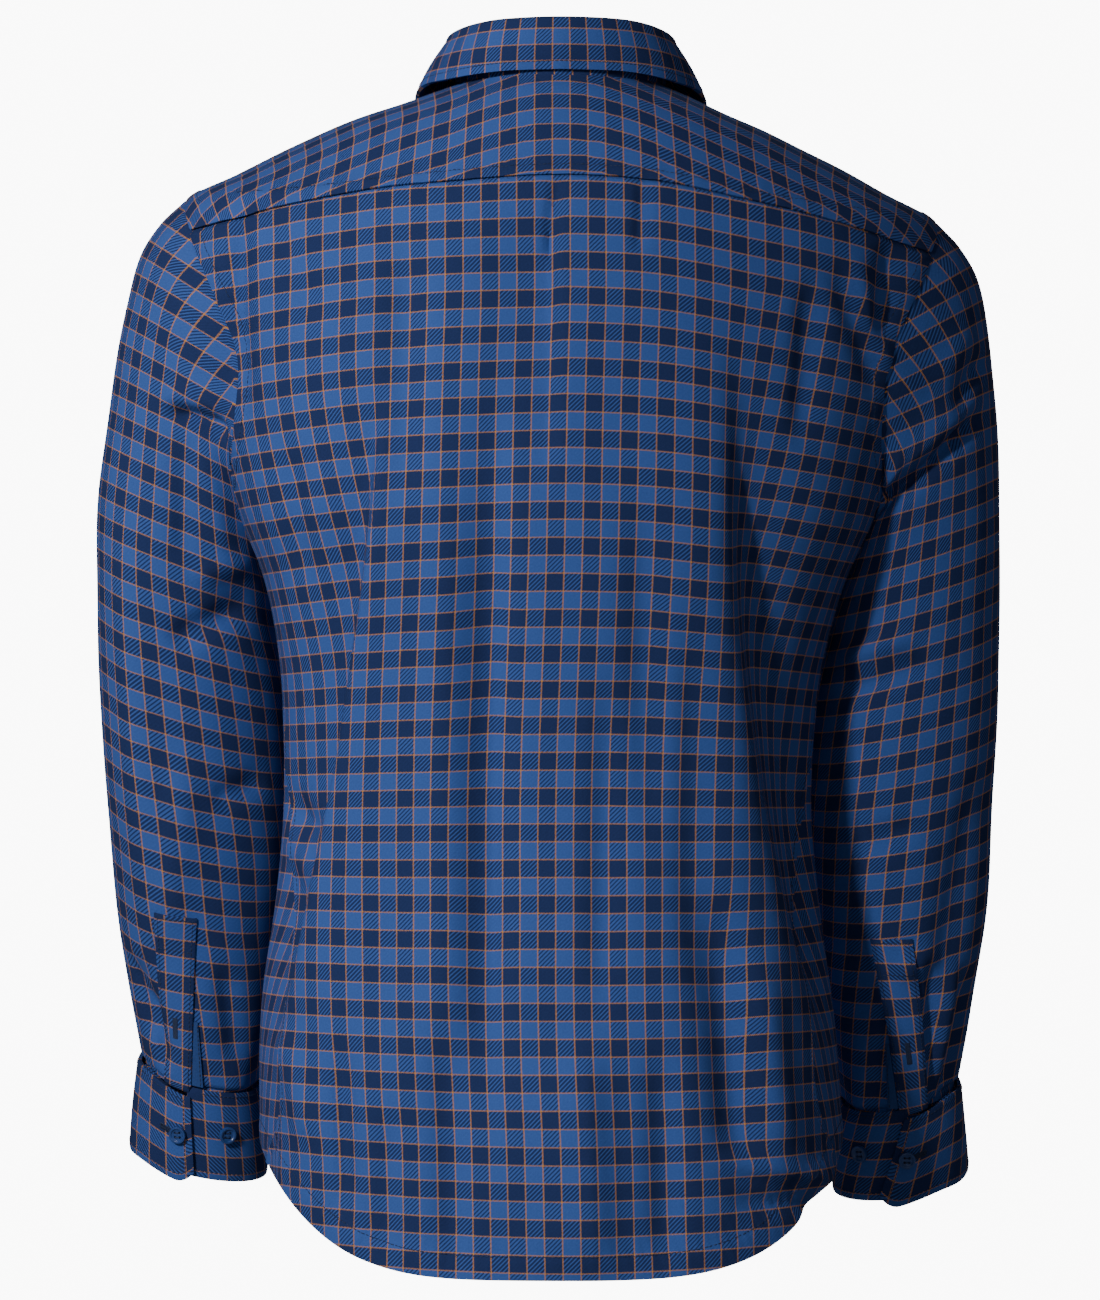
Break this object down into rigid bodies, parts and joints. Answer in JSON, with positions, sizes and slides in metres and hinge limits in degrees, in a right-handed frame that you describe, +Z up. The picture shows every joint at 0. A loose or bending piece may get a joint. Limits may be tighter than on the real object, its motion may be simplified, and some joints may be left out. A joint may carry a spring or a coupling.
{
  "type": "long-sleeved flannel shirt",
  "caption": "Checked long-sleeved flannel shirt with a pointed collar, yoke, button front and buttoned cuffs, filled out as when worn and hollow.",
  "frame": {"origin": "the middle of the neck, level with the sides of the neck, where the shoulders carry the shirt", "axes": "+Z up along the spine, +X to the wearer's right, +Y out of the buttoned front, so the back faces -Y"},
  "size_m": [0.5745, 0.2624, 0.7866],
  "materials": {
    "flannel": "brushed woven cotton, navy and royal blue check with thin orange lines",
    "binding": "plain dark blue cotton",
    "button": "satin navy resin"
  },
  "bodies": {
    "root": {"back": "flannel", "binding_left": "binding", "binding_right": "binding", "button_collar": "button", "button_cuff_left": "button", "button_cuff_right": "button", "button_front_1": "button", "button_front_2": "button", "button_front_3": "button", "button_front_4": "button", "button_front_5": "button", "button_front_6": "button", "button_front_7": "button", "button_spare_left": "button", "button_spare_right": "button", "collar": "flannel", "collar_stand": "flannel", "cuff_left": "flannel", "cuff_right": "flannel", "front_band": "flannel", "front_left": "flannel", "front_right": "flannel", "placket_left": "flannel", "placket_right": "flannel", "sleeve_left": "flannel", "sleeve_right": "flannel", "yoke": "flannel"}
  },
  "joints": []
}
